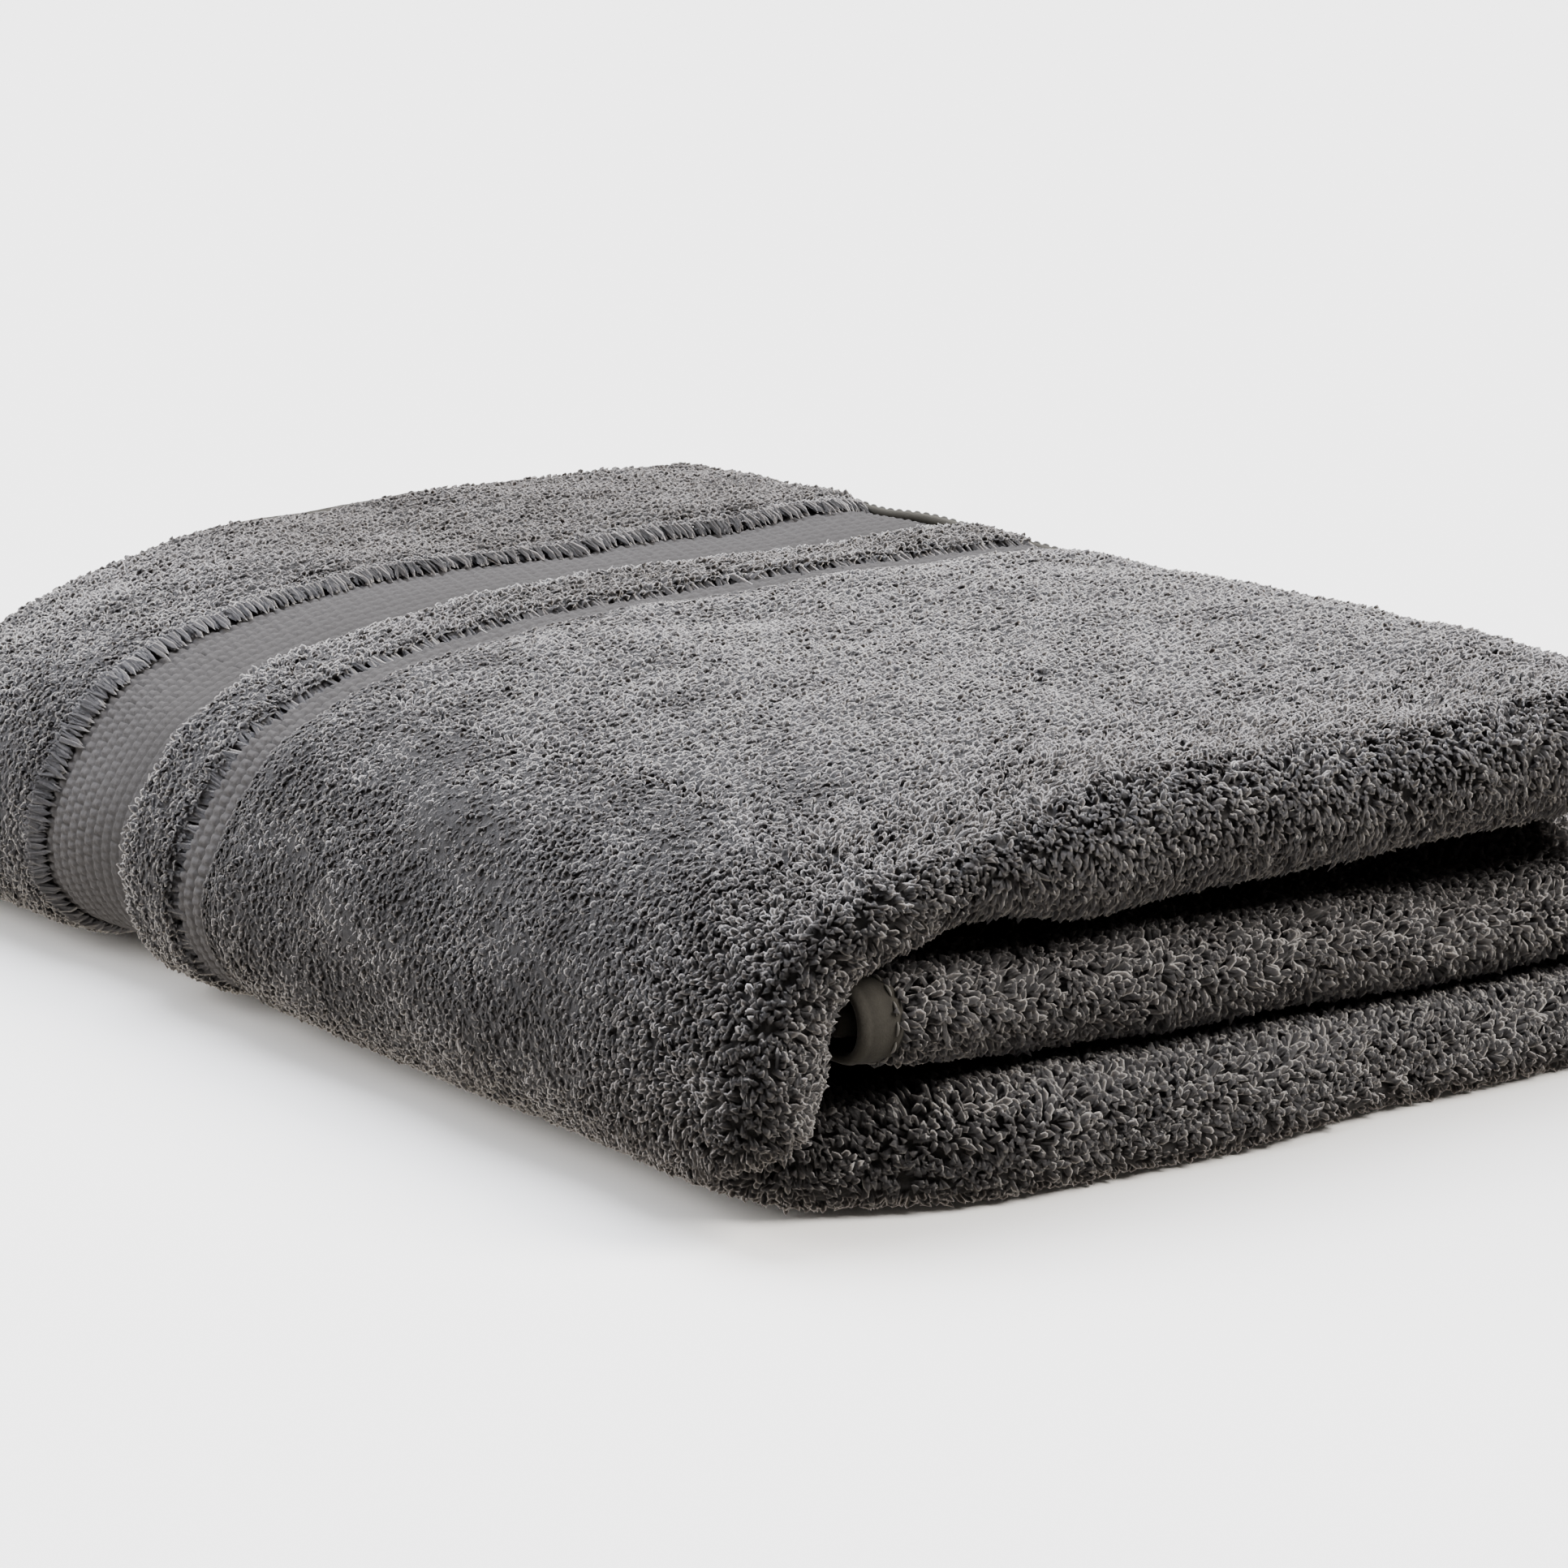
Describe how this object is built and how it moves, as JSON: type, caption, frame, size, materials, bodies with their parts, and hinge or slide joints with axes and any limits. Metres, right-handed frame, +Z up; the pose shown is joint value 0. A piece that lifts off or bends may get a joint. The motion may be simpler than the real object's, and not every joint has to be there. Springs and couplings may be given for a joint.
{
  "type": "bath towel",
  "caption": "Plush terry bath towel folded into a rectangular pack: rolled front edge, two recessed woven border bands, hems, and a top flap that opens.",
  "frame": {"origin": "centre of the folded pack's footprint, on the surface it lies on", "axes": "+Z up; +Y from the front roll to the back end with the hems; +X from the left bend, about which the top flap opens, to the right bend"},
  "size_m": [0.254, 0.35, 0.079],
  "materials": {
    "pile": "plush cotton terry pile, mid grey, matt with soft sheen",
    "woven_band": "flat dobby weave in rows of small bumps, mid grey",
    "hem": "plain ground weave turned and sewn, mid grey",
    "thread": "twisted cotton sewing thread, grey"
  },
  "bodies": {
    "folded_base": {"bottom_outer_cloth": "pile", "bottom_inner_cloth": "pile", "bottom_back_turn": "pile", "bottom_narrow_band": "woven_band", "bottom_pile_strip": "pile", "bottom_wide_band": "woven_band", "bottom_header": "pile", "bottom_end_hems": "hem", "right_bend_outer_cloth": "pile", "right_bend_inner_cloth": "pile", "right_bend_back_turn": "pile", "right_bend_narrow_band": "woven_band", "right_bend_pile_strip": "pile", "right_bend_wide_band": "woven_band", "right_bend_header": "pile", "right_bend_end_hems": "hem", "inner_flap_outer_cloth": "pile", "inner_flap_inner_cloth": "pile", "inner_flap_back_turn": "pile", "inner_flap_narrow_band": "woven_band", "inner_flap_pile_strip": "pile", "inner_flap_wide_band": "woven_band", "inner_flap_header": "pile", "inner_flap_end_hems": "hem", "left_bend_outer_cloth": "pile", "left_bend_inner_cloth": "pile", "left_bend_back_turn": "pile", "left_bend_narrow_band": "woven_band", "left_bend_pile_strip": "pile", "left_bend_wide_band": "woven_band", "left_bend_header": "pile", "left_bend_end_hems": "hem", "inner_flap_side_hem": "hem", "inner_flap_side_stitch": "thread"},
    "top_flap": {"top_flap_outer_cloth": "pile", "top_flap_inner_cloth": "pile", "top_flap_back_turn": "pile", "top_flap_narrow_band": "woven_band", "top_flap_pile_strip": "pile", "top_flap_wide_band": "woven_band", "top_flap_header": "pile", "top_flap_end_hems": "hem", "top_flap_side_hem": "hem", "top_flap_side_stitch": "thread"}
  },
  "joints": [
    {"name": "top_flap_unfold", "type": "hinge", "parent": "folded_base", "child": "top_flap", "pos_m": [-0.127, 0, 0.0395], "axis": [0, -1, 0], "range_deg": [0, 180], "deforming": ["left_bend_outer_cloth", "left_bend_inner_cloth", "left_bend_back_turn", "left_bend_narrow_band", "left_bend_pile_strip", "left_bend_wide_band", "left_bend_header", "left_bend_end_hems"]}
  ]
}
